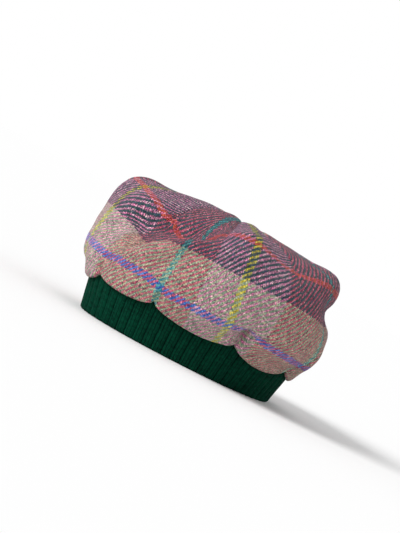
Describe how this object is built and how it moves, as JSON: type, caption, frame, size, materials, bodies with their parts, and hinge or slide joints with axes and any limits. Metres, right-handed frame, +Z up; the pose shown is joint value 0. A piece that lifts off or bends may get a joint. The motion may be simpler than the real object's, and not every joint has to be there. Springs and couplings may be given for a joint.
{
  "type": "tweed beret",
  "caption": "Soft plaid tweed beret: a draped, hollow crown gathered onto a ribbed knit band that grips the head.",
  "frame": {"origin": "on the surface the rim rests on, under the middle of the hat's bounding box", "axes": "+Z up out of the crown's top, -Y the way the wearer looks, +X towards the wearer's left"},
  "size_m": [0.2438, 0.2388, 0.136],
  "materials": {
    "plaid_tweed": "matte twill-woven wool tweed with a check in pinks, reds, sage and dark teal",
    "green_rib_knit": "matte dark green rib-knitted wool"
  },
  "bodies": {
    "root": {"tweed_crown": "plaid_tweed", "ribbed_band": "green_rib_knit"}
  },
  "joints": []
}
